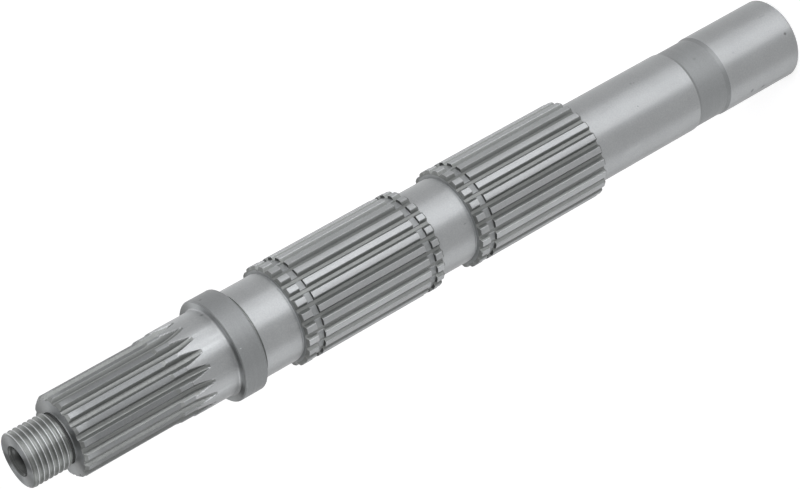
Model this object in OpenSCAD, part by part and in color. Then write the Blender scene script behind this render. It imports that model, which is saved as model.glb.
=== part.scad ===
// Main shaft of a gearbox: one turned, splined and ground steel piece.
// It stands on its plain end with the threaded end up, the axis on Z
// and the origin in the middle of the plain end's face.
// Lengths follow one another up the shaft, and each section starts where
// the one below it ends.

/* [Plain end] */
// Diameter of the two ground seats at the plain end, ground in one pass
seats_d = 24.6; // [24.3:0.1:26]
// Length of the bearing seat at the plain end
end_seat_len = 28; // [18:0.5:40]
// Chamfer round the plain end's face
end_chamfer = 0.8; // [0.3:0.1:1.5]
// Diameter of the turned relief between the two seats
relief_d = 24; // [22:0.1:24.2]
// Length of the relief, with the slope at each of its ends
relief_len = 12.2; // [6:0.1:20]
// Length of the slope from the relief out to the plain end's seat
relief_slope_low = 1.4; // [0.4:0.1:2.5]
// Length of the slope from the relief out to the long seat
relief_slope_high = 0.8; // [0.4:0.1:2.5]
// Length of the long seat
long_seat_len = 38.8; // [25:0.1:60]

/* [Gear splines] */
// Number of teeth on each of the two gear splines
gear_teeth = 23; // [18:1:25]
// Diameter over the teeth
gear_tip_d = 29.8; // [29:0.1:32]
// Height of a tooth
gear_tooth_h = 1.15; // [0.8:0.05:1.3]
// Width of the ground land on top of a tooth
gear_land_w = 1.65; // [1.2:0.05:1.9]
// Turn of the teeth round the shaft, from a tooth that faces -Y
gear_turn = 0.45; // [-7:0.05:7]
// Length of the lower gear spline
low_spline_len = 46; // [30:0.5:70]
// Length of the upper gear spline
high_spline_len = 47; // [30:0.5:70]
// Chamfer on the teeth at the lower end of a gear spline
tooth_chamfer = 0.3; // [0.1:0.05:0.6]
// Length of the steep bevel on the teeth at the upper end
tooth_bevel_len = 0.4; // [0.3:0.05:1]

/* [Retaining ring grooves] */
// Width of a groove for a retaining ring
ring_groove_w = 2.2; // [1.2:0.1:3]
// Diameter at the bottom of a groove
ring_groove_d = 28; // [27.6:0.1:28.6]
// From the lower spline's upper end to the groove near it
low_groove_from_top = 3.2; // [2:0.1:6]
// From the upper spline's upper end to the groove near it
high_groove_from_top = 3.6; // [2:0.1:6]
// From the upper spline's lower end to the groove near it
high_groove_from_bottom = 2.65; // [1.5:0.05:6]

/* [Journals and collar] */
// Diameter of the journal between the two gear splines
mid_journal_d = 25.7; // [24:0.1:27]
// Length of that journal
mid_journal_len = 13; // [8:0.1:25]
// Diameter of the journal between the upper spline and the collar
high_journal_d = 26; // [24:0.1:27]
// Length of that journal
high_journal_len = 13.4; // [8:0.1:25]
// Width of the undercut where a journal meets a spline
undercut_w = 0.65; // [0.3:0.05:1.2]
// Width of the undercut where the upper journal meets the collar
collar_undercut_w = 1.2; // [0.5:0.05:2]
// Depth of these undercuts below the journals
undercut_h = 0.3; // [0.1:0.05:0.5]
// Diameter of the collar
collar_d = 29.9; // [28:0.1:34]
// Width of the collar
collar_w = 7.4; // [4:0.1:12]
// Chamfer on both edges of the collar
collar_chamfer = 0.35; // [0.1:0.05:0.8]

/* [Ball bearing seat and hub spline] */
// Diameter of the ball bearing's seat
bearing_seat_d = 25; // [24.7:0.1:25.6]
// Length of the ball bearing's ground seat
bearing_seat_len = 13.9; // [9:0.1:20]
// Fillet between the seat and the collar
bearing_fillet = 0.5; // [0.2:0.1:1]
// Diameter of the turned band beside the seat, where the teeth fade out
band_d = 24.5; // [24:0.1:24.6]
// Length of that band
band_len = 3.6; // [2:0.1:6]
// Length of the slope from the band down to the teeth
band_slope = 1; // [0.4:0.1:2]
// Length of the hub spline's full teeth, with their end bevel
hub_spline_len = 29.7; // [20:0.1:45]
// Number of teeth on the hub spline
hub_teeth = 18; // [14:1:20]
// Diameter over the hub spline's teeth
hub_tip_d = 23.75; // [23:0.05:24.2]
// Height of a hub spline tooth
hub_tooth_h = 1.175; // [0.8:0.025:1.3]
// Width of the land on top of a hub spline tooth
hub_land_w = 1.53; // [1.2:0.01:1.9]
// Turn of the hub spline's teeth, from a tooth that faces -Y
hub_turn = -2.6; // [-9:0.1:9]
// Length of the bevel on the teeth beside the threaded end
hub_bevel_len = 0.9; // [0.3:0.1:2]
// Height of that bevel
hub_bevel_h = 0.7; // [0.2:0.05:0.8]
// Radius of the cutter that leaves the teeth's curved run-out
hub_cutter_r = 18.5; // [12:0.5:40]
// Where the run-out's last trace ends, below the band's lower edge
run_out_len = 6.5; // [4:0.1:8.5]

/* [Threaded end] */
// Outer diameter of the thread
thread_d = 15.9; // [14:0.1:18]
// Length of the thread
thread_len = 12.1; // [8:0.1:20]
// Chamfer at the start of the thread
thread_chamfer = 0.55; // [0.3:0.05:1.2]
// Diameter of the neck behind the thread
neck_d = 14.1; // [12:0.1:15.5]
// Length of the neck
neck_len = 0.6; // [0.5:0.1:3]
// Diameter of the low rim between the neck and the hub spline's face
rim_d = 15; // [13:0.1:17]
// Width of that rim
rim_w = 0.3; // [0.2:0.05:2]

/* [Centre holes] */
// Diameter of a centre hole's mouth
centre_mouth_d = 8.9; // [6:0.1:10]
// Diameter of its pilot hole
centre_pilot_d = 4; // [2:0.1:5]
// Depth of the pilot hole, from the face
centre_depth = 8; // [6.5:0.5:16]

/* [Hidden] */

$fn = 144;
// Pressure angle of the splines, and the fillet at the foot of a tooth
pressure_angle = 30;
foot_fillet = 0.1;
// Full angles of a centre hole's cone and of a drill's point
centre_cone = 60;
drill_point = 118;
// How far a cutter reaches past what it cuts, straight and in degrees
over = 1;
past_exit = 3;
// Facets on each side of a tooth space
flank_steps = 3;
fillet_steps = 2;

// Places up the shaft, each where the section below ends
z_relief = end_seat_len;
z_long_seat = z_relief + relief_len;
z_low_spline = z_long_seat + long_seat_len;
z_mid_journal = z_low_spline + low_spline_len;
z_high_spline = z_mid_journal + mid_journal_len;
z_high_journal = z_high_spline + high_spline_len;
z_collar = z_high_journal + high_journal_len;
z_bearing_seat = z_collar + collar_w;
z_band = z_bearing_seat + bearing_seat_len;
z_slope = z_band + band_len;
z_hub_teeth = z_slope + band_slope;
z_hub_face = z_hub_teeth + hub_spline_len;
z_neck = z_hub_face + rim_w;
z_thread = z_neck + neck_len;
z_top = z_thread + thread_len;

gear_root_r = gear_tip_d / 2 - gear_tooth_h;
hub_root_r = hub_tip_d / 2 - hub_tooth_h;

// The involute of a spline: how far round a point at radius r lies
// from where the curve leaves its base circle, in degrees
function roll(r, base_r) =
    let (a = acos(base_r / r)) tan(a) * 180 / PI - a;

// Base circle of a spline whose tip diameter is (teeth + 1) modules
function base_radius(tip_r, teeth) =
    tip_r * teeth / (teeth + 1) * cos(pressure_angle);

// Half the width of a tooth space at radius r, in degrees
function half_space(r, tip_r, teeth, land_w) =
    let (base_r = base_radius(tip_r, teeth),
         half_land = land_w / tip_r * 90 / PI)
    180 / teeth - half_land
        - roll(tip_r, base_r) + roll(r, base_r);

// One side of a tooth space, across and outward, from the floor up
function space_side(root_r, tip_r, top_r, teeth, land_w) =
    let (base_r = base_radius(tip_r, teeth),
         floor_a = half_space(root_r, tip_r, teeth, land_w),
         lean = acos(base_r / root_r) + floor_a,
         floor_half = root_r * sin(floor_a),
         r = min(foot_fillet, floor_half),
         centre = floor_half + r * tan(lean) - r / cos(lean),
         low_r = root_r + r)
    concat(
        [for (i = [0 : fillet_steps])
            let (a = i / fillet_steps * (90 - lean))
            [centre + r * sin(a), root_r + r - r * cos(a)]],
        [for (i = [0 : flank_steps])
            let (q = low_r + (top_r - low_r) * i / flank_steps,
                 a = half_space(q, tip_r, teeth, land_w))
            [q * sin(a), q * cos(a)]]);

// Outline of a whole tooth space, as the cutter's tooth has it
module space_outline(root_r, tip_r, top_r, teeth, land_w) {
    side = space_side(root_r, tip_r, top_r, teeth, land_w);
    polygon(concat(side,
        [for (i = [len(side) - 1 : -1 : 0]) [-side[i][0], side[i][1]]]));
}

// Straight tooth spaces of a gear spline, cut from end to end
module gear_spaces(z, len) {
    for (i = [0 : gear_teeth - 1])
        rotate([0, 0, 180 + gear_turn + (i + 0.5) * 360 / gear_teeth])
            translate([0, 0, z - undercut_w / 2])
                linear_extrude(len + undercut_w)
                    space_outline(gear_root_r, gear_tip_d / 2,
                        gear_tip_d / 2 + over, gear_teeth, gear_land_w);
}

// Tooth spaces of the hub spline: straight from the threaded end, then
// following the cutter's own circle out to the ground seat
module hub_spaces() {
    seat_r = bearing_seat_d / 2;
    rise = seat_r - hub_root_r;
    sweep = acos(1 - rise / hub_cutter_r);
    z_lift = z_band - run_out_len + hub_cutter_r * sin(sweep);
    for (i = [0 : hub_teeth - 1])
        rotate([0, 0, 180 + hub_turn + (i + 0.5) * 360 / hub_teeth]) {
            translate([0, 0, z_lift])
                linear_extrude(z_hub_face + over - z_lift)
                    hub_space_outline();
            translate([0, hub_root_r + hub_cutter_r, z_lift])
                rotate([0, 90, 0])
                    rotate([0, 0, -90])
                        rotate_extrude(angle = sweep + past_exit)
                            rotate([0, 0, 90])
                                translate([0, -hub_root_r - hub_cutter_r])
                                    hub_space_outline();
        }
}

// Outline of one of its tooth spaces, tall enough to clear the ground seat
module hub_space_outline() {
    space_outline(hub_root_r, hub_tip_d / 2, bearing_seat_d / 2 + over,
        hub_teeth, hub_land_w);
}

// Ring to take away for a retaining ring's groove
module ring_groove(z) {
    translate([0, 0, z])
        difference() {
            cylinder(h = ring_groove_w, d = gear_tip_d + 2 * over);
            translate([0, 0, -over])
                cylinder(h = ring_groove_w + 2 * over, d = ring_groove_d);
        }
}

// Centre hole, from its mouth on the plane below it, going up
module centre_hole() {
    mouth_r = centre_mouth_d / 2;
    pilot_r = centre_pilot_d / 2;
    cone_h = (mouth_r - pilot_r) / tan(centre_cone / 2);
    point_h = pilot_r / tan(drill_point / 2);
    rotate_extrude()
        polygon([
            [0, -over], [mouth_r, -over], [mouth_r, 0],
            [pilot_r, cone_h], [pilot_r, centre_depth],
            [0, centre_depth + point_h]]);
}

// Half outline of a gear spline's blank: chamfered at its lower end, and
// steeply bevelled at its upper one
function gear_blank(z, len) =
    let (tip_r = gear_tip_d / 2, top = z + len) [
    [tip_r - tooth_chamfer, z], [tip_r, z + tooth_chamfer],
    [tip_r, top - tooth_bevel_len], [gear_root_r, top]];

// Half outline of the undercut at a journal's lower end, where it meets
// the face of the spline below
function undercut(journal_r, z) = [
    [journal_r - undercut_h, z],
    [journal_r - undercut_h, z + undercut_w - undercut_h / 2],
    [journal_r, z + undercut_w]];

// Half outline of the undercut at the upper journal's top, where it meets
// the collar
function collar_undercut() =
    let (journal_r = high_journal_d / 2, z = z_collar - collar_undercut_w) [
    [journal_r, z], [journal_r - undercut_h, z + undercut_h / 2],
    [journal_r - undercut_h, z_collar]];

// Everything that is turned, as one half outline from the plain end up
module turned_blank() {
    seat_r = bearing_seat_d / 2;
    collar_r = collar_d / 2;
    hub_r = hub_tip_d / 2;
    thread_r = thread_d / 2;
    rotate_extrude()
        polygon(concat(
            [[0, 0], [seats_d / 2 - end_chamfer, 0],
             [seats_d / 2, end_chamfer], [seats_d / 2, z_relief],
             [relief_d / 2, z_relief + relief_slope_low],
             [relief_d / 2, z_long_seat - relief_slope_high],
             [seats_d / 2, z_long_seat], [seats_d / 2, z_low_spline]],
            gear_blank(z_low_spline, low_spline_len),
            undercut(mid_journal_d / 2, z_mid_journal),
            [[mid_journal_d / 2, z_high_spline]],
            gear_blank(z_high_spline, high_spline_len),
            undercut(high_journal_d / 2, z_high_journal),
            collar_undercut(),
            [[collar_r - collar_chamfer, z_collar],
             [collar_r, z_collar + collar_chamfer],
             [collar_r, z_bearing_seat - collar_chamfer],
             [collar_r - collar_chamfer, z_bearing_seat],
             [seat_r, z_bearing_seat],
             [seat_r, z_band - (seat_r - band_d / 2)],
             [band_d / 2, z_band], [band_d / 2, z_slope],
             [hub_r, z_hub_teeth],
             [hub_r, z_hub_face - hub_bevel_len],
             [hub_r - hub_bevel_h, z_hub_face],
             [rim_d / 2, z_hub_face], [rim_d / 2, z_neck],
             [neck_d / 2, z_neck], [neck_d / 2, z_thread],
             [thread_r, z_thread + (thread_d - neck_d) / 2],
             [thread_r, z_top - thread_chamfer],
             [thread_r - thread_chamfer, z_top], [0, z_top]]));
}

// Concave fillet between the ball bearing's seat and the collar
module seat_fillet() {
    translate([0, 0, z_bearing_seat])
        rotate_extrude()
            translate([bearing_seat_d / 2, 0])
                difference() {
                    square(bearing_fillet);
                    translate([bearing_fillet, bearing_fillet])
                        circle(bearing_fillet);
                }
}

module main_shaft() {
    color("silver")
        difference() {
            union() {
                turned_blank();
                seat_fillet();
            }
            gear_spaces(z_low_spline, low_spline_len);
            gear_spaces(z_high_spline, high_spline_len);
            hub_spaces();
            ring_groove(z_mid_journal - low_groove_from_top - ring_groove_w);
            ring_groove(z_high_journal - high_groove_from_top - ring_groove_w);
            ring_groove(z_high_spline + high_groove_from_bottom);
            centre_hole();
            translate([0, 0, z_top])
                rotate([180, 0, 0])
                    centre_hole();
        }
}

main_shaft();
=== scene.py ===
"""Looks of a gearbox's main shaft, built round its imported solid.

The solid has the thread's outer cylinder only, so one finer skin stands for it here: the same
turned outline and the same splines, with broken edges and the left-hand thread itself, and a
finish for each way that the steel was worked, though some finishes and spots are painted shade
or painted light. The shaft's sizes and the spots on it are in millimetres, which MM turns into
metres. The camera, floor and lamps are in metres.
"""

import math

import bmesh
import bpy
import numpy as np
from mathutils import Matrix, Vector

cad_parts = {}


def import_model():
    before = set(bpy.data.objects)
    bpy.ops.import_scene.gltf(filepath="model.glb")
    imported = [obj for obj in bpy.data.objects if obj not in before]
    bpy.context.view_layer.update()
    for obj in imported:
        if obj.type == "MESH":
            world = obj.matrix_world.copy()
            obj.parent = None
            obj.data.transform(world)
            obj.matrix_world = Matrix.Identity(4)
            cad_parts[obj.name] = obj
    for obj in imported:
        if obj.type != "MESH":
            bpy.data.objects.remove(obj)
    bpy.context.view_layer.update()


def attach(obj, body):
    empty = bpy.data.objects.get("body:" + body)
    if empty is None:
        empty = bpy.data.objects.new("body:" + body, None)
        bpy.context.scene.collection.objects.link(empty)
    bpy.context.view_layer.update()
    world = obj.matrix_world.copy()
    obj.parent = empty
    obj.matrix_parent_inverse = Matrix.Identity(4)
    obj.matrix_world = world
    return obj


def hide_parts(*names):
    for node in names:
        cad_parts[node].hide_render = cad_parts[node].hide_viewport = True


MM = 0.001
NODE = "main_shaft"
BODY = "root"

# Plain end, from the bottom up
SEATS_R = 12.3
END_SEAT_LEN = 28.0
END_CHAMFER = 0.8
RELIEF_R = 12.0
RELIEF_LEN = 12.2
RELIEF_SLOPE_LOW = 1.4
RELIEF_SLOPE_HIGH = 0.8
LONG_SEAT_LEN = 38.8

# Gear splines and their grooves
GEAR_TEETH = 23
GEAR_TIP_R = 14.9
GEAR_TOOTH_H = 1.15
GEAR_LAND_W = 1.65
GEAR_TURN = math.radians(0.45)
LOW_SPLINE_LEN = 46.0
HIGH_SPLINE_LEN = 47.0
TOOTH_CHAMFER = 0.3
TOOTH_BEVEL_LEN = 0.4
RING_GROOVE_W = 2.2
RING_GROOVE_R = 14.0
LOW_GROOVE_FROM_TOP = 3.2
HIGH_GROOVE_FROM_TOP = 3.6
HIGH_GROOVE_FROM_BOTTOM = 2.65

# Journals, collar and the ball bearing's seat
MID_JOURNAL_R = 12.85
MID_JOURNAL_LEN = 13.0
HIGH_JOURNAL_R = 13.0
HIGH_JOURNAL_LEN = 13.4
UNDERCUT_W = 0.65
COLLAR_UNDERCUT_W = 1.2
UNDERCUT_H = 0.3
# The solid's collar is 14.95, and this round one keeps inside the flats of its box
COLLAR_R = 14.92
COLLAR_W = 7.4
COLLAR_CHAMFER = 0.35
BEARING_SEAT_R = 12.5
BEARING_SEAT_LEN = 13.9
BEARING_FILLET = 0.5
BAND_R = 12.25
BAND_LEN = 3.6
BAND_SLOPE = 1.0

# Hub spline
HUB_TEETH = 18
HUB_SPLINE_LEN = 29.7
HUB_TIP_R = 11.875
HUB_TOOTH_H = 1.175
HUB_LAND_W = 1.53
HUB_TURN = math.radians(-2.6)
HUB_BEVEL_LEN = 0.9
HUB_BEVEL_H = 0.7
HUB_CUTTER_R = 18.5
RUN_OUT_LEN = 6.5

# Threaded end
RIM_R = 7.5
RIM_W = 0.3
NECK_R = 7.05
NECK_LEN = 0.6
THREAD_R = 7.95
THREAD_LEN = 12.1
THREAD_PITCH = 1.5
# The solid's chamfer at the end, and the length over which it is rounded here
THREAD_CHAMFER = 0.55
THREAD_ROUNDING = 0.9
# As deep as it looks in the photograph, where a full thread of this pitch is about 0.9
THREAD_DEPTH = 0.6
# How far one crest is from the top on the camera's side, and the length over which the thread
# fades out towards the top
THREAD_CREST_FROM_TOP = 4.62
THREAD_FADE = 1.4

# Half of the thread's profile, from a crest's middle to a root's: distance along the axis, depth
THREAD_FLAT = THREAD_PITCH / 16
THREAD_ROOT = THREAD_FLAT + THREAD_DEPTH * math.tan(math.radians(30))
THREAD_PROFILE = [
    (0.0, 0.0),
    (THREAD_FLAT, 0.015),
    (THREAD_FLAT + 0.04, 0.06),
    (THREAD_ROOT - 0.05, THREAD_DEPTH - 0.13),
    (THREAD_ROOT + 0.02, THREAD_DEPTH - 0.03),
    (THREAD_PITCH / 2, THREAD_DEPTH),
]

# Centre holes
CENTRE_MOUTH_R = 4.45
CENTRE_PILOT_R = 2.0
CENTRE_DEPTH = 8.0
CENTRE_CONE = math.radians(60)
DRILL_POINT = math.radians(118)

# Places up the shaft
Z_RELIEF = END_SEAT_LEN
Z_LONG_SEAT = Z_RELIEF + RELIEF_LEN
Z_LOW_SPLINE = Z_LONG_SEAT + LONG_SEAT_LEN
Z_MID_JOURNAL = Z_LOW_SPLINE + LOW_SPLINE_LEN
Z_HIGH_SPLINE = Z_MID_JOURNAL + MID_JOURNAL_LEN
Z_HIGH_JOURNAL = Z_HIGH_SPLINE + HIGH_SPLINE_LEN
Z_COLLAR = Z_HIGH_JOURNAL + HIGH_JOURNAL_LEN
Z_BEARING_SEAT = Z_COLLAR + COLLAR_W
Z_BAND = Z_BEARING_SEAT + BEARING_SEAT_LEN
Z_RUN_OUT = Z_BAND - RUN_OUT_LEN
Z_SLOPE = Z_BAND + BAND_LEN
Z_HUB_TEETH = Z_SLOPE + BAND_SLOPE
Z_HUB_FACE = Z_HUB_TEETH + HUB_SPLINE_LEN
Z_NECK = Z_HUB_FACE + RIM_W
Z_THREAD = Z_NECK + NECK_LEN
Z_TOP = Z_THREAD + THREAD_LEN

# The camera's side is -Y, three quarters of a turn on from +X
CAMERA_SIDE = 0.75

# Mesh: columns round the plain stretches, steps of the collar's fillet, and steps of the arc
# that rounds the threaded end, with the angle that the arc turns through
PLAIN_COLUMNS = 192
THREAD_COLUMNS = 128
FILLET_STEPS = 5
ROUNDING_STEPS = 7
ROUNDING_TURN = math.pi / 3
# How far an edge is broken, how far beyond it the guard point is, and how much of a short
# stretch of the outline the two may take
EDGE = 0.06
GUARD = 0.05
STRETCH_SHARE = 0.45
JOIN_WITHIN = 0.0005 * MM
SHARP_ANGLE = math.radians(32)
# Rows along the run-outs, closest where the cuts start, as parts of the way from there to
# RUN_OUT_REACH past the band's edge
RUN_OUT_ROWS = np.array([0.003, 0.012, 0.03, 0.06, 0.1, 0.15, 0.21, 0.28, 0.36, 0.45, 0.55, 0.66, 0.8])
RUN_OUT_REACH = 1.4
# Rows in one turn of the thread, as parts of the pitch from its crest, and the rows whose strip
# below is the crest's flat
THREAD_ROWS = [-0.5, -0.45, -0.4, -0.33, -0.24, -0.15, -0.09, -0.0625, 0.0, 0.0625,
               0.09, 0.15, 0.24, 0.33, 0.4, 0.45]
CREST_ROWS = (0.0, 0.0625)

# The steel's cast against a neutral grey, where it is bright, plain and dull
COOL = (0.979, 1.002, 1.012)
PLAIN = (0.975, 1.008, 1.015)
DULL = (0.985, 1.02, 0.99)
# A quarter turn of the shader's stretch sets it along the shaft
ALONG_THE_SHAFT = 0.25
# Noise on the steel: its scale along each axis, per metre, and its detail
CLOUD_NOISE = ((120.0, 120.0, 120.0), 4.0)
GRAIN_NOISE = ((2600.0, 2600.0, 2600.0), 2.0)
LINE_NOISE = ((40.0, 40.0, 2200.0), 3.0)
# The colour follows the cloud and the weighted grain: the range of their sum, and its swing
GRAIN_WEIGHT = 2.0
CLOUDED = (1.1, 1.9)
UNEVEN = 0.06
# The roughness follows the lines: their range, and its swing and the bump's height at depth 1
LINED = (0.35, 0.65)
ROUGH_SWING = 0.08
LINE_DEPTH = 4e-6
# A spot is full at its middle, up to this part of its size, and fades out to its edge
SPOT_FULL = 0.3


def look(level, cast, metal, rough, lines, low=1.0, depth=1.0):
    """How one finish looks.

    level and cast make its colour, metal and rough are the shader's own, lines tells how far its
    lines stretch the light along the shaft, low how much it reflects at a low angle, and depth how
    deep its lines are.
    """
    return {
        "level": level, "cast": cast, "metal": metal, "rough": rough,
        "lines": lines, "low": low, "depth": depth,
    }


LOOKS = {
    "ground": look(0.325, COOL, metal=0.8, rough=0.45, lines=0.9, depth=0.35),
    "turned": look(0.227, PLAIN, metal=0.7, rough=0.5, lines=0.5, depth=0.8),
    # The step finish is the turned one painted darker, as shade on the relief's slopes and on the
    # undercuts at the journals' feet.
    "step": look(0.199, PLAIN, metal=0.7, rough=0.5, lines=0.5),
    "collar": look(0.195, PLAIN, metal=0.7, rough=0.5, lines=0.45, depth=0.8),
    "hub": look(0.173, PLAIN, metal=0.8, rough=0.45, lines=0.7, low=0.7),
    "cut": look(0.185, DULL, metal=0.6, rough=0.45, lines=0.9, low=0.8),
    "face": look(0.279, PLAIN, metal=0.95, rough=0.45, lines=1.0, depth=1.5),
    # The crest finish is painted much lighter than the thread's: partly the crests' own brighter steel,
    # partly a painted highlight along them.
    "crest": look(0.484, COOL, metal=0.6, rough=0.4, lines=0.7, low=0.5, depth=0.7),
    "thread": look(0.216, DULL, metal=0.95, rough=0.5, lines=0.9, depth=1.5),
    # The hole finish is painted very dark, as shade on the walls of the ring grooves and the neck, on the
    # teeth's lower chamfer and in the centre holes.
    "hole": look(0.084, DULL, metal=0.5, rough=0.5, lines=0.0, low=0.5, depth=8.0),
}
FINISHES = list(LOOKS)

# Spots that darken or lighten a finish, some of them specks on the steel and some painted shade
# or painted light: the finish each is on, its height, how far round it is from the camera's side
# towards -X in degrees, the radius there, its half length and half width, and its tone. Those at
# radius 0 go all the way round.
SPOTS_AND_PAINTED_SHADING = [
    ("collar", 204.5, 11.0, COLLAR_R, 0.4, 0.16, 2.0),
    ("collar", 204.3, -63.5, COLLAR_R, 0.55, 0.45, 0.45),
    ("turned", 34.6, -27.0, RELIEF_R, 0.7, 0.6, 0.82),
    ("ground", 206.6, -51.0, BEARING_SEAT_R, 0.7, 0.6, 0.7),
    ("ground", 127.6, 15.0, MID_JOURNAL_R, 0.6, 0.25, 0.75),
    ("ground", 3.6, 5.0, SEATS_R, 0.6, 0.6, 0.45),
    ("ground", 19.0, 62.0, SEATS_R, 0.75, 1.0, 0.62),
    ("ground", 14.3, 67.0, SEATS_R, 1.1, 0.8, 0.62),
    ("ground", 8.0, 70.0, SEATS_R, 4.5, 0.5, 0.85),
    ("ground", 6.5, -33.0, SEATS_R, 2.0, 0.4, 0.88),
    ("ground", 22.8, -7.0, SEATS_R, 0.6, 0.5, 0.88),
    ("cut", 235.0, 28.0, 11.2, 0.5, 0.5, 0.5),
    ("hub", 253.0, 0.0, 0.0, 4.0, 60.0, 1.4),
    # Painted shade on the far wall of the upper centre hole.
    ("hole", 264.6, 172.0, 3.0, 2.4, 2.4, 0.3),
    # Painted shade on the hub spline's face, on the camera's side and round towards -X.
    ("face", 254.0, 58.0, 10.0, 1.5, 4.5, 0.6),
    ("face", 254.0, 0.0, 9.8, 1.5, 6.0, 0.75),
    # Painted shade all round the neck below the thread.
    ("hole", 254.6, 0.0, 0.0, 0.9, 40.0, 0.6),
    # Painted light all round the undercuts at the journals' feet.
    ("step", 125.0, 0.0, 0.0, 1.5, 40.0, 1.5),
    ("step", 185.0, 0.0, 0.0, 1.5, 40.0, 1.5),
    # Painted light and painted shade on the collar's upper face: lighter towards +X, darker towards -X.
    ("face", 205.8, -68.0, 13.8, 1.0, 4.5, 1.35),
    ("face", 205.8, 68.0, 13.8, 1.0, 4.0, 0.4),
    ("ground", 56.8, -41.0, SEATS_R, 0.35, 0.5, 0.75),
    ("ground", 55.9, -40.0, SEATS_R, 0.3, 0.3, 0.75),
    ("ground", 60.3, -7.0, SEATS_R, 0.3, 0.3, 0.6),
    ("ground", 67.0, 43.0, SEATS_R, 5.0, 1.3, 1.06),
]

# Camera, fitted to the shaft's edges in the photograph: a long lens, where it stands, and how
# far it looks down, looks aside and is rolled
LENS = 127.15
SENSOR_W = 36.0
CAMERA_AT = (0.0, -0.68672, 0.49662)
LOOK_DOWN = math.radians(27.337)
LOOK_ASIDE = math.radians(0.034)
ROLL = math.radians(-119.355)

# White floor: half its width, how white it is painted, and what it glows for the camera
FLOOR_HALF = 2.1
FLOOR_WHITE = 0.58
FLOOR_ROUGH = 0.9
FLOOR_GLOW = 0.68

# World: white up to a low height of the sky, grey from a high one, and weaker where it lights
# matt surfaces
SKY_WHITE_TO = 0.13
SKY_GREY_FROM = 0.9
SKY_GREY = 0.13
SKY_AS_LIGHT = 0.6

# Lamps: a little cooler than white, and aimed at the middle of the shaft
LAMP_COLOUR = (0.99, 0.995, 1.017)
LAMP_AIM = Vector((0.0, 0.0, 0.13))


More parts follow.
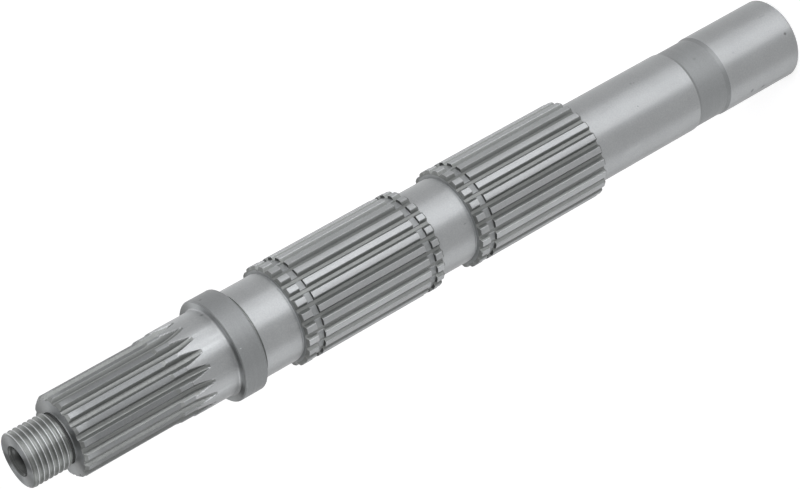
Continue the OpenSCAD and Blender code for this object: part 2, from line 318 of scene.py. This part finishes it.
class Spline:
    """A spline's teeth: involute flanks, a fillet at the foot and a flat floor."""

    PRESSURE_ANGLE = math.radians(30)
    FOOT_FILLET = 0.1
    # Points along the fillet and the flank, before the mesh takes its columns from them
    FINE_STEPS = 40
    # Columns from a floor's middle to the tip, a little closer towards the tip, and on the land
    SPACE_COLUMNS = 11
    CROWDING = 0.9
    LAND_COLUMNS = 3
    # How much of a shallow space's side the broken edge may take, and the guard as much again
    SHALLOW_SHARE = 0.3

    def __init__(self, teeth, tip_r, tooth_h, land_w, turn, tallest_r):
        """turn is how far a tooth's middle is round from the camera's side, and tallest_r the
        blank's radius where it is thickest, which the flanks go out to.
        """
        self.teeth = teeth
        self.tip_r = tip_r
        self.root_r = tip_r - tooth_h
        self.land_w = land_w
        self.turn = turn
        self.pitch = 2 * math.pi / teeth
        self.base_r = tip_r * teeth / (teeth + 1) * math.cos(self.PRESSURE_ANGLE)
        self.curve = self.space_side(tallest_r)
        steps = np.hypot(*np.diff(self.curve, axis=0).T)
        self.along = np.concatenate([[0.0], np.cumsum(steps)])
        spread = np.linspace(0.0, 1.0, self.SPACE_COLUMNS) ** self.CROWDING
        self.columns = spread * self.along[-1]

    def roll(self, r):
        """Turn of the involute from its base circle out to radius r."""
        a = np.arccos(self.base_r / r)
        return np.tan(a) - a

    def half_space(self, r):
        """Half the width of a tooth space at radius r, as an angle."""
        half_land = self.land_w / 2 / self.tip_r
        return self.pitch / 2 - half_land - self.roll(self.tip_r) + self.roll(r)

    def space_side(self, tallest_r):
        """Half of a tooth space, across and outward, from its floor's middle up a flank."""
        floor_a = self.half_space(self.root_r)
        lean = math.acos(self.base_r / self.root_r) + floor_a
        floor_half = self.root_r * math.sin(floor_a)
        r = min(self.FOOT_FILLET, floor_half)
        centre = floor_half + r * math.tan(lean) - r / math.cos(lean)
        turn = np.linspace(0.0, math.pi / 2 - lean, self.FINE_STEPS)
        across = centre + r * np.sin(turn)
        outward = self.root_r + r - r * np.cos(turn)
        q = np.linspace(self.root_r + r, tallest_r + EDGE, self.FINE_STEPS)
        flank = self.half_space(q)
        across = np.concatenate([[0.0], across, q * np.sin(flank)])
        outward = np.concatenate([[self.root_r], outward, q * np.cos(flank)])
        return np.column_stack([across, outward])

    def half_pitch(self, blank_r, lift, lean):
        """From a space's middle to a land's: angles, radii, and whether each stretch is cut."""
        across = self.curve[:, 0]
        outward = (self.curve[:, 1] - self.root_r) / math.cos(lean) + self.root_r + lift
        # The flank meets the blank at end, and stops short of it for the broken edge
        end = float(np.interp(blank_r, np.hypot(across, outward), self.along))
        edge = min(EDGE, self.SHALLOW_SHARE * end)
        guard = min(GUARD, self.SHALLOW_SHARE * end)
        last = end - edge - guard
        places = np.append(np.minimum(self.columns, last), end - edge)
        x = np.interp(places, self.along, across)
        y = np.interp(places, self.along, outward)
        angle = np.arctan2(x, y)
        r = np.minimum(np.hypot(x, y), blank_r)
        corner = math.atan2(np.interp(end, self.along, across), np.interp(end, self.along, outward))
        land = corner + np.array([edge, edge + guard]) / blank_r
        land = np.append(land, np.linspace(land[-1], self.pitch / 2, self.LAND_COLUMNS + 1)[1:])
        # One more point bends the broken edge out towards the sharp corner
        middle = (angle[-1] + land[0] + 2 * corner) / 4
        middle_r = (r[-1] + 3 * blank_r) / 4
        angle = np.concatenate([angle, [middle], land])
        r = np.concatenate([r, [middle_r], np.full(len(land), blank_r)])
        in_space = self.columns[1:] <= last
        cut = np.concatenate([in_space, [True], np.zeros(len(land) + 1, bool)])
        return angle, r, cut

    def ring(self, blank_r, lift=0.0, lean=0.0):
        """Angles and radii of one ring round the teeth, and which of its columns are cut.

        The blank ends the teeth at blank_r. A lifted cutter, whose path leans off the axis,
        leaves a shallower space, stretched as a slanting cut shows it.
        """
        angle, r, cut = self.half_pitch(blank_r, lift, lean)
        both = np.concatenate([-angle[:0:-1], angle[:-1]])
        both_r = np.concatenate([r[:0:-1], r[:-1]])
        both_cut = np.concatenate([cut[::-1], cut])
        middles = -math.pi / 2 + self.turn + (np.arange(self.teeth) + 0.5) * self.pitch
        angles = (middles[:, None] + both).ravel()
        return angles, np.tile(both_r, self.teeth), np.tile(both_cut, self.teeth)


GEAR = Spline(GEAR_TEETH, GEAR_TIP_R, GEAR_TOOTH_H, GEAR_LAND_W, GEAR_TURN, GEAR_TIP_R)
HUB = Spline(HUB_TEETH, HUB_TIP_R, HUB_TOOTH_H, HUB_LAND_W, HUB_TURN, BEARING_SEAT_R)


class Skin:
    """A closed surface made of rings, each joined to the one before it."""

    def __init__(self):
        self.points = []
        self.faces = []
        self.finish = []
        self.count = 0
        self.last = None

    def add_points(self, angles, radii, z):
        """Adds points at these angles, radii and heights, and gives their numbers."""
        z = np.broadcast_to(z, angles.shape)
        self.points.append(np.column_stack([radii * np.cos(angles), radii * np.sin(angles), z]))
        self.count += len(angles)
        return np.arange(self.count - len(angles), self.count)

    def add_faces(self, faces, finish):
        """Adds faces, each with its finish."""
        self.faces.extend(faces)
        self.finish.extend(finish)

    def ring(self, z, angles, radii, finish=None, cut=None):
        """Adds a ring and the strip up to it. Columns cut in both rings have the cut finish."""
        ids = self.add_points(angles, radii, z)
        last = self.last
        if last is not None and len(last["ids"]) == len(ids):
            low = last["ids"]
            strip = np.column_stack([low, np.roll(low, -1), np.roll(ids, -1), ids])
            names = np.full(len(ids), finish, dtype=object)
            if cut is not None and last["cut"] is not None:
                names[cut & last["cut"]] = "cut"
            self.add_faces(strip.tolist(), names.tolist())
        elif last is not None:
            self.zip_up(last, ids, angles, finish)
        self.last = {"ids": ids, "angles": angles, "cut": cut}

    def zip_up(self, last, ids, angles, finish):
        """Joins two rings with different numbers of columns by a strip of triangles."""
        low, low_a = self.from_zero(last["ids"], last["angles"])
        high, high_a = self.from_zero(ids, angles)
        i = 0
        j = 0
        faces = []
        while i < len(low) or j < len(high):
            next_low = low_a[i + 1] if i < len(low) else math.inf
            next_high = high_a[j + 1] if j < len(high) else math.inf
            a = low[i % len(low)]
            b = high[j % len(high)]
            if next_low <= next_high:
                faces.append([a, low[(i + 1) % len(low)], b])
                i += 1
            else:
                faces.append([a, high[(j + 1) % len(high)], b])
                j += 1
        self.add_faces(faces, [finish] * len(faces))

    @staticmethod
    def from_zero(ids, angles):
        """Ring points sorted by angle from zero, with the first angle repeated at the end."""
        turned = np.mod(angles, 2 * math.pi)
        order = np.argsort(turned, kind="stable")
        return ids[order], np.append(turned[order], turned[order][0] + 2 * math.pi)

    def outline(self, points, columns):
        """Turns an outline of (z, radius, finish) points, each with its strip's finish."""
        angles = np.arange(columns) * 2 * math.pi / columns
        for z, r, finish in points:
            self.ring(z, angles, np.full(columns, float(r)), finish)

    def grid(self, angles, rows_z, rows_r, finishes):
        """Adds rows that climb or fall as they go round, so that each ends where another starts."""
        shape = rows_z.shape
        ids = self.add_points(np.tile(angles, shape[0]), rows_r.ravel(), rows_z.ravel())
        ids = ids.reshape(shape)
        low = ids[:-1]
        high = ids[1:]
        faces = np.stack([low[:, :-1], low[:, 1:], high[:, 1:], high[:, :-1]], -1).reshape(-1, 4)
        self.add_faces(faces.tolist(), np.repeat(finishes[1:], shape[1] - 1).tolist())
        self.last = {"ids": ids[-1][:-1], "angles": angles[:-1], "cut": None}

    def build(self, name):
        """Makes the object, with doubled points joined and faces that have no width gone."""
        mesh = bpy.data.meshes.new(name)
        mesh.from_pydata((np.vstack(self.points) * MM).tolist(), [], self.faces)
        slots = [FINISHES.index(f) for f in self.finish]
        mesh.polygons.foreach_set("material_index", slots)
        work = bmesh.new()
        work.from_mesh(mesh)
        bmesh.ops.remove_doubles(work, verts=work.verts, dist=JOIN_WITHIN)
        bmesh.ops.dissolve_degenerate(work, edges=work.edges, dist=JOIN_WITHIN)
        work.to_mesh(mesh)
        work.free()
        mesh.polygons.foreach_set("use_smooth", [True] * len(mesh.polygons))
        mesh.set_sharp_from_angle(angle=SHARP_ANGLE)
        piece = bpy.data.objects.new(name, mesh)
        bpy.context.scene.collection.objects.link(piece)
        return piece


def soften(points):
    """Breaks each corner of an outline, and puts a guard point beyond each break.

    A point is (z, radius, finish), where the finish is that of the stretch that ends there.
    """
    out = [points[0]]
    for before, here, after in zip(points, points[1:], points[2:]):
        to_last = Vector((before[0] - here[0], before[1] - here[1]))
        to_next = Vector((after[0] - here[0], after[1] - here[1]))
        for way, reach, finish in (
            (to_last, EDGE + GUARD, here[2]),
            (to_last, EDGE, here[2]),
            (to_next, EDGE, here[2]),
            (to_next, EDGE + GUARD, after[2]),
        ):
            most = STRETCH_SHARE * way.length * reach / (EDGE + GUARD)
            step = min(reach, most) / way.length
            out.append((here[0] + way.x * step, here[1] + way.y * step, finish))
    out.append(points[-1])
    return out


def centre_hole(face_z, way):
    """Outline of a centre hole from its point to its mouth; way is +1 where it goes up."""
    cone_h = (CENTRE_MOUTH_R - CENTRE_PILOT_R) / math.tan(CENTRE_CONE / 2)
    point_h = CENTRE_PILOT_R / math.tan(DRILL_POINT / 2)
    return [
        (face_z + way * (CENTRE_DEPTH + point_h), 0.0, "hole"),
        (face_z + way * CENTRE_DEPTH, CENTRE_PILOT_R, "hole"),
        (face_z + way * cone_h, CENTRE_PILOT_R, "hole"),
        (face_z, CENTRE_MOUTH_R, "hole"),
    ]


def plain_end(skin):
    """From the bottom of the lower centre hole up to the lower gear spline's face."""
    points = centre_hole(0.0, 1) + [
        (0.0, SEATS_R - END_CHAMFER, "face"),
        (END_CHAMFER, SEATS_R, "turned"),
        (Z_RELIEF, SEATS_R, "ground"),
        (Z_RELIEF + RELIEF_SLOPE_LOW, RELIEF_R, "step"),
        (Z_LONG_SEAT - RELIEF_SLOPE_HIGH, RELIEF_R, "turned"),
        (Z_LONG_SEAT, SEATS_R, "step"),
        (Z_LOW_SPLINE, SEATS_R, "ground"),
    ]
    skin.outline(soften(points), PLAIN_COLUMNS)


def gear_blank(z, length, inner_r, grooves):
    """Outline of a gear spline's turned blank, with its chamfer, grooves and bevel."""
    top = z + length
    points = [
        (z, inner_r, "turned"),
        (z, GEAR_TIP_R - TOOTH_CHAMFER, "turned"),
        (z + TOOTH_CHAMFER, GEAR_TIP_R, "hole"),
    ]
    for groove in grooves:
        points += [
            (groove, GEAR_TIP_R, "ground"),
            (groove, RING_GROOVE_R, "hole"),
            (groove + RING_GROOVE_W, RING_GROOVE_R, "turned"),
            (groove + RING_GROOVE_W, GEAR_TIP_R, "hole"),
        ]
    points += [
        (top - TOOTH_BEVEL_LEN, GEAR_TIP_R, "ground"),
        (top, GEAR.root_r, "cut"),
    ]
    return soften(points)


def gear_spline(skin, z, length, inner_r, grooves):
    """A gear spline, from the foot of its lower face to the foot of its upper end."""
    angles = GEAR.ring(GEAR_TIP_R - TOOTH_CHAMFER)[0]
    skin.ring(z, angles, np.full(len(angles), inner_r), "turned")
    for place, r, finish in gear_blank(z, length, inner_r, grooves)[1:]:
        if r <= GEAR.root_r:
            # A plain ring here, with the columns of a toothed one
            angles = GEAR.ring(GEAR.root_r + EDGE)[0]
            skin.ring(place, angles, np.full(len(angles), r), finish)
        else:
            angles, radii, cut = GEAR.ring(r)
            skin.ring(place, angles, radii, finish, cut)


def journal(skin, z, radius, end):
    """A journal above a spline, with the undercut at its foot."""
    points = [
        (z, GEAR.root_r, "cut"),
        (z, radius - UNDERCUT_H, "step"),
        (z + UNDERCUT_W - UNDERCUT_H / 2, radius - UNDERCUT_H, "step"),
        (z + UNDERCUT_W, radius, "step"),
        (end, radius, "ground"),
    ]
    skin.outline(soften(points)[1:], PLAIN_COLUMNS)


def collar(skin):
    """The undercut below the collar, and the collar up to the ball bearing's seat."""
    low = Z_COLLAR
    high = Z_BEARING_SEAT
    undercut = low - COLLAR_UNDERCUT_W
    points = [
        (undercut, HIGH_JOURNAL_R, "ground"),
        (undercut + UNDERCUT_H / 2, HIGH_JOURNAL_R - UNDERCUT_H, "cut"),
        (low, HIGH_JOURNAL_R - UNDERCUT_H, "cut"),
        (low, COLLAR_R - COLLAR_CHAMFER, "face"),
        (low + COLLAR_CHAMFER, COLLAR_R, "collar"),
        (high - COLLAR_CHAMFER, COLLAR_R, "collar"),
        (high, COLLAR_R - COLLAR_CHAMFER, "collar"),
        (high, BEARING_SEAT_R + BEARING_FILLET, "face"),
    ]
    fillet = []
    for step in range(1, FILLET_STEPS + 1):
        turn = step / FILLET_STEPS * math.pi / 2
        z = high + BEARING_FILLET * (1 - math.cos(turn))
        r = BEARING_SEAT_R + BEARING_FILLET * (1 - math.sin(turn))
        fillet.append((z, r, "ground"))
    skin.outline(soften(points)[1:] + fillet, PLAIN_COLUMNS)


def cutter_path(z):
    """How far the hub spline's cutter has left the shaft at height z, and how its path leans."""
    rise = BEARING_SEAT_R - HUB.root_r
    sweep = math.acos(1 - rise / HUB_CUTTER_R)
    z_lift = Z_RUN_OUT + HUB_CUTTER_R * math.sin(sweep)
    lean = math.asin(min(max(z_lift - z, 0.0) / HUB_CUTTER_R, 1.0))
    return HUB_CUTTER_R * (1 - math.cos(lean)), lean


def hub_blank():
    """Outline of the turned blank from the ball bearing's seat to the hub spline's face."""
    step = BEARING_SEAT_R - BAND_R
    return soften(
        [
            (Z_BEARING_SEAT + BEARING_FILLET, BEARING_SEAT_R, "ground"),
            (Z_BAND - step, BEARING_SEAT_R, "ground"),
            (Z_BAND, BAND_R, "ground"),
            (Z_SLOPE, BAND_R, "turned"),
            (Z_HUB_TEETH, HUB_TIP_R, "cut"),
            (Z_HUB_FACE - HUB_BEVEL_LEN, HUB_TIP_R, "hub"),
            (Z_HUB_FACE, HUB_TIP_R - HUB_BEVEL_H, "cut"),
            (Z_HUB_FACE, RIM_R, "face"),
        ]
    )


def hub_rows():
    """The blank's points, with rows along the run-outs put in between them."""
    blank = hub_blank()
    heights = [p[0] for p in blank]
    radii = [p[1] for p in blank]
    rows = [p for p in blank if p[0] < Z_HUB_FACE]
    for z in Z_RUN_OUT + RUN_OUT_ROWS * (RUN_OUT_LEN + RUN_OUT_REACH):
        after = next(i for i, height in enumerate(heights) if height >= z)
        r = float(np.interp(z, heights[: after + 1], radii[: after + 1]))
        rows.append((z, r, blank[after][2]))
    rows.sort(key=lambda p: p[0])
    return rows + [p for p in blank if p[0] >= Z_HUB_FACE]


def hub_spline(skin):
    """From the ball bearing's seat, through the run-outs and teeth, to the hub spline's face."""
    angles = HUB.ring(BEARING_SEAT_R, BEARING_SEAT_R - HUB.root_r - EDGE)[0]
    for z, r, finish in hub_rows():
        if z < Z_RUN_OUT or r < HUB.root_r:
            # Plain rings before the run-outs and inside the teeth, with the columns of the last
            skin.ring(z, angles, np.full(len(angles), r), finish)
            continue
        lift, lean = cutter_path(z)
        angles, ring_r, cut = HUB.ring(r, lift, lean)
        skin.ring(z, angles, ring_r, finish, cut)


def thread_depth(offset):
    """Depth of the thread below its crest at a distance along the axis from the crest."""
    places, depths = zip(*THREAD_PROFILE)
    return np.interp(np.abs(offset), places, depths)


def thread_blank():
    """Heights and radii of the blank that the thread is cut in, with its rounded end."""
    turn = np.linspace(0.0, ROUNDING_TURN, ROUNDING_STEPS)
    climb = np.sin(turn) / np.sin(turn[-1]) - 1
    inward = (1 - np.cos(turn)) / (1 - np.cos(turn[-1]))
    heights = [Z_THREAD, Z_THREAD + THREAD_R - NECK_R, *(Z_TOP + THREAD_ROUNDING * climb)]
    radii = [NECK_R, THREAD_R, *(THREAD_R - THREAD_CHAMFER * inward)]
    return heights, radii


def thread_rows(angles):
    """Heights, radii and finishes of rows that follow the thread round the shaft.

    Each row falls by one pitch as its angle grows by a turn, which makes the thread left-hand.
    """
    heights, radii = thread_blank()
    fall = THREAD_PITCH * (angles / (2 * math.pi) - 1)
    crest = Z_TOP - THREAD_CREST_FROM_TOP + THREAD_PITCH * CAMERA_SIDE
    first = math.floor((Z_THREAD - crest) / THREAD_PITCH) - 1
    last = math.ceil((Z_TOP - crest) / THREAD_PITCH) + 1
    rows_z = []
    rows_r = []
    finishes = []
    for turn in range(first, last + 1):
        for row in THREAD_ROWS:
            offset = row * THREAD_PITCH
            z = crest + turn * THREAD_PITCH + offset - fall
            inside = np.clip(z, Z_THREAD, Z_TOP)
            # A row that is moved in to either end takes the depth that the thread has there
            moved = inside - z + offset
            from_crest = np.mod(moved + THREAD_PITCH / 2, THREAD_PITCH) - THREAD_PITCH / 2
            fade = np.clip((Z_TOP - THREAD_CHAMFER / 2 - inside) / THREAD_FADE, 0.0, 1.0)
            r = THREAD_R - thread_depth(from_crest) * fade
            rows_z.append(inside)
            rows_r.append(np.minimum(r, np.interp(inside, heights, radii)))
            finishes.append("crest" if row in CREST_ROWS else "thread")
    return np.array(rows_z), np.array(rows_r), finishes


def threaded_end(skin):
    """From the rim beside the hub spline's face to the bottom of the upper centre hole."""
    foot = [
        (Z_HUB_FACE, RIM_R, "face"),
        (Z_NECK, RIM_R, "turned"),
        (Z_NECK, NECK_R, "hole"),
        (Z_THREAD, NECK_R, "hole"),
    ]
    skin.outline(soften(foot)[1:], THREAD_COLUMNS)
    angles = np.linspace(0.0, 2 * math.pi, THREAD_COLUMNS + 1)
    skin.grid(angles, *thread_rows(angles))
    hole = centre_hole(Z_TOP, -1)[::-1]
    skin.outline([(Z_TOP, CENTRE_MOUTH_R, "face")] + hole[1:], THREAD_COLUMNS)


def shaft_skin():
    """The whole shaft as one closed skin, made from the bottom up."""
    skin = Skin()
    plain_end(skin)
    low_groove = Z_MID_JOURNAL - LOW_GROOVE_FROM_TOP - RING_GROOVE_W
    high_grooves = [
        Z_HIGH_SPLINE + HIGH_GROOVE_FROM_BOTTOM,
        Z_HIGH_JOURNAL - HIGH_GROOVE_FROM_TOP - RING_GROOVE_W,
    ]
    gear_spline(skin, Z_LOW_SPLINE, LOW_SPLINE_LEN, SEATS_R, [low_groove])
    journal(skin, Z_MID_JOURNAL, MID_JOURNAL_R, Z_HIGH_SPLINE)
    gear_spline(skin, Z_HIGH_SPLINE, HIGH_SPLINE_LEN, MID_JOURNAL_R, high_grooves)
    journal(skin, Z_HIGH_JOURNAL, HIGH_JOURNAL_R, Z_COLLAR - COLLAR_UNDERCUT_W)
    collar(skin)
    hub_spline(skin)
    threaded_end(skin)
    return skin.build("main_shaft_skin")


def noise(nodes, link, place, scale, detail):
    """Noise on the object's own coordinates, with its own scale along each axis."""
    stretch = nodes.new("ShaderNodeMapping")
    stretch.inputs["Scale"].default_value = scale
    made = nodes.new("ShaderNodeTexNoise")
    made.inputs["Scale"].default_value = 1.0
    made.inputs["Detail"].default_value = detail
    link(place.outputs["Object"], stretch.inputs["Vector"])
    link(stretch.outputs["Vector"], made.inputs["Vector"])
    return made.outputs["Fac"]


def sum_of(nodes, link, one, other, weight=1.0):
    """One number times its weight, plus another."""
    made = nodes.new("ShaderNodeMath")
    made.operation = "MULTIPLY_ADD"
    made.inputs[1].default_value = weight
    link(one, made.inputs[0])
    link(other, made.inputs[2])
    return made.outputs[0]


def number_range(nodes, link, value, ends, new_ends):
    """Maps a number from one range to another."""
    made = nodes.new("ShaderNodeMapRange")
    for name, number in zip(("From Min", "From Max", "To Min", "To Max"), (*ends, *new_ends)):
        made.inputs[name].default_value = number
    link(value, made.inputs["Value"])
    return made.outputs["Result"]


def colour_range(nodes, link, value, ends, colours):
    """Maps a number to colours. The node's number sockets have the same names, so these go by place."""
    made = nodes.new("ShaderNodeMapRange")
    made.data_type = "FLOAT_VECTOR"
    for socket, vector in zip(made.inputs[7:11], ([ends[0]] * 3, [ends[1]] * 3, *colours)):
        socket.default_value = vector
    link(value, made.inputs[6])
    return made.outputs[1]


def marks(finish, nodes, link, place, colour):
    """Mixes the spots of one finish, and its painted shade and painted light, into its colour, and gives
    the last output.
    """
    for on, z, aside, radius, along, around, tone in SPOTS_AND_PAINTED_SHADING:
        if on != finish:
            continue
        a = math.radians(-90 - aside)
        at = Vector((math.cos(a) * radius, math.sin(a) * radius, z))
        spot = nodes.new("ShaderNodeMapping")
        spot.vector_type = "TEXTURE"
        spot.inputs["Location"].default_value = at * MM
        spot.inputs["Rotation"].default_value = (0.0, 0.0, a)
        spot.inputs["Scale"].default_value = Vector((around, around, along)) * MM
        far = nodes.new("ShaderNodeVectorMath")
        far.operation = "LENGTH"
        link(place.outputs["Object"], spot.inputs["Vector"])
        link(spot.outputs["Vector"], far.inputs[0])
        mix = nodes.new("ShaderNodeMix")
        mix.data_type = "RGBA"
        mix.blend_type = "MULTIPLY"
        mix.inputs["B"].default_value = (tone, tone, tone, 1.0)
        soft = number_range(nodes, link, far.outputs["Value"], (1.0, SPOT_FULL), (0.0, 1.0))
        link(soft, mix.inputs["Factor"])
        link(colour, mix.inputs[6])
        colour = mix.outputs[2]
    return colour


def steel(finish):
    """Bare steel with one finish: clouded, grained, and with the tool's lines round it."""
    kind = LOOKS[finish]
    material = bpy.data.materials.new(finish + "_steel")
    material.use_nodes = True
    nodes = material.node_tree.nodes
    link = material.node_tree.links.new
    shader = nodes["Principled BSDF"]
    shader.inputs["Metallic"].default_value = kind["metal"]
    shader.inputs["Anisotropic"].default_value = kind["lines"]
    shader.inputs["Anisotropic Rotation"].default_value = ALONG_THE_SHAFT
    shader.inputs["Specular Tint"].default_value = (kind["low"], kind["low"], kind["low"], 1.0)
    tangent = nodes.new("ShaderNodeTangent")
    tangent.direction_type = "RADIAL"
    tangent.axis = "Z"
    link(tangent.outputs["Tangent"], shader.inputs["Tangent"])

    place = nodes.new("ShaderNodeTexCoord")
    cloud = noise(nodes, link, place, *CLOUD_NOISE)
    grain = noise(nodes, link, place, *GRAIN_NOISE)
    lines = noise(nodes, link, place, *LINE_NOISE)

    uneven = sum_of(nodes, link, grain, cloud, GRAIN_WEIGHT)
    dark = [c * kind["level"] * (1 - UNEVEN) for c in kind["cast"]]
    pale = [c * kind["level"] * (1 + UNEVEN) for c in kind["cast"]]
    colour = colour_range(nodes, link, uneven, CLOUDED, (dark, pale))
    link(marks(finish, nodes, link, place, colour), shader.inputs["Base Color"])

    swing = ROUGH_SWING * kind["depth"]
    rough_ends = (kind["rough"] * (1 - swing), kind["rough"] * (1 + swing))
    rough = number_range(nodes, link, lines, LINED, rough_ends)
    link(rough, shader.inputs["Roughness"])

    bump = nodes.new("ShaderNodeBump")
    bump.inputs["Distance"].default_value = kind["depth"] * LINE_DEPTH
    link(sum_of(nodes, link, grain, lines), bump.inputs["Height"])
    link(bump.outputs["Normal"], shader.inputs["Normal"])
    return material


def shaft_materials(piece):
    """One material for each finish, in the order of FINISHES."""
    for finish in FINISHES:
        piece.data.materials.append(steel(finish))


def floor_material():
    """White that glows for the camera and for what mirrors or lets through the floor."""
    material = bpy.data.materials.new("white_floor")
    material.use_nodes = True
    nodes = material.node_tree.nodes
    link = material.node_tree.links.new
    shader = nodes["Principled BSDF"]
    shader.inputs["Base Color"].default_value = (FLOOR_WHITE, FLOOR_WHITE, FLOOR_WHITE, 1.0)
    shader.inputs["Roughness"].default_value = FLOOR_ROUGH
    shader.inputs["Specular IOR Level"].default_value = 0.0
    shader.inputs["Emission Color"].default_value = (1.0, 1.0, 1.0, 1.0)
    path = nodes.new("ShaderNodeLightPath")
    seen = path.outputs["Is Camera Ray"]
    for ray in ("Is Glossy Ray", "Is Transmission Ray"):
        either = nodes.new("ShaderNodeMath")
        either.operation = "MAXIMUM"
        link(seen, either.inputs[0])
        link(path.outputs[ray], either.inputs[1])
        seen = either.outputs[0]
    glow = nodes.new("ShaderNodeMath")
    glow.operation = "MULTIPLY"
    glow.inputs[1].default_value = FLOOR_GLOW
    link(seen, glow.inputs[0])
    link(glow.outputs[0], shader.inputs["Emission Strength"])
    return material


def floor():
    """A white floor that keeps the shaft's shadow."""
    mesh = bpy.data.meshes.new("floor")
    half = FLOOR_HALF
    corners = [(-half, -half, 0), (half, -half, 0), (half, half, 0), (-half, half, 0)]
    mesh.from_pydata(corners, [], [(0, 1, 2, 3)])
    mesh.materials.append(floor_material())
    plane = bpy.data.objects.new("floor", mesh)
    bpy.context.scene.collection.objects.link(plane)


def world():
    """Soft light from all round, white near the horizon and grey overhead."""
    made = bpy.data.worlds.new("studio")
    bpy.context.scene.world = made
    made.use_nodes = True
    nodes = made.node_tree.nodes
    link = made.node_tree.links.new
    back = nodes["Background"]
    way = nodes.new("ShaderNodeTexCoord")
    height = nodes.new("ShaderNodeSeparateXYZ")
    shade = nodes.new("ShaderNodeValToRGB")
    low, high = shade.color_ramp.elements
    low.position = SKY_WHITE_TO
    low.color = (1.0, 1.0, 1.0, 1.0)
    high.position = SKY_GREY_FROM
    high.color = (SKY_GREY, SKY_GREY, SKY_GREY, 1.0)
    link(way.outputs["Generated"], height.inputs["Vector"])
    link(height.outputs["Z"], shade.inputs["Fac"])
    link(shade.outputs["Color"], back.inputs["Color"])
    path = nodes.new("ShaderNodeLightPath")
    plain_light = path.outputs["Is Diffuse Ray"]
    link(number_range(nodes, link, plain_light, (0.0, 1.0), (1.0, SKY_AS_LIGHT)), back.inputs["Strength"])


def softbox(name, azimuth, distance, height, size, radiance):
    """A flat lamp that faces the shaft; azimuth 0 is the camera's side, 90 is +X."""
    lamp = bpy.data.lights.new(name, "AREA")
    lamp.shape = "RECTANGLE"
    lamp.size, lamp.size_y = size
    lamp.energy = radiance * math.pi * size[0] * size[1]
    lamp.color = LAMP_COLOUR
    box = bpy.data.objects.new(name, lamp)
    a = math.radians(azimuth)
    box.location = (distance * math.sin(a), -distance * math.cos(a), height)
    box.rotation_euler = (LAMP_AIM - box.location).to_track_quat("-Z", "Y").to_euler()
    box.visible_camera = False
    bpy.context.scene.collection.objects.link(box)


def camera():
    """The photograph's view: a long lens, looking down on the shaft and turned on its side."""
    data = bpy.data.cameras.new("camera")
    data.lens = LENS
    data.sensor_width = SENSOR_W
    eye = bpy.data.objects.new("camera", data)
    turn = (
        Matrix.Rotation(-LOOK_ASIDE, 4, "Z")
        @ Matrix.Rotation(math.pi / 2 - LOOK_DOWN, 4, "X")
        @ Matrix.Rotation(ROLL, 4, "Z")
    )
    eye.matrix_world = Matrix.Translation(CAMERA_AT) @ turn
    bpy.context.scene.collection.objects.link(eye)
    bpy.context.scene.camera = eye


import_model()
camera()
floor()
world()
softbox("key", azimuth=17.5, distance=2.2, height=0.6, size=(1.65, 1.15), radiance=6.5)
softbox("key_edge", azimuth=49.5, distance=2.2, height=0.6, size=(0.98, 1.15), radiance=3.9)
softbox("overhead", azimuth=75.0, distance=0.75, height=1.7, size=(1.4, 1.2), radiance=0.45)
softbox("side", azimuth=-92.0, distance=2.2, height=0.8, size=(1.75, 1.55), radiance=2.1)
softbox("far_side", azimuth=140.0, distance=1.8, height=1.2, size=(1.5, 2.2), radiance=1.0)
shaft = shaft_skin()
shaft_materials(shaft)
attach(shaft, BODY)
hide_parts(NODE)
bpy.context.scene.view_settings.view_transform = "Standard"
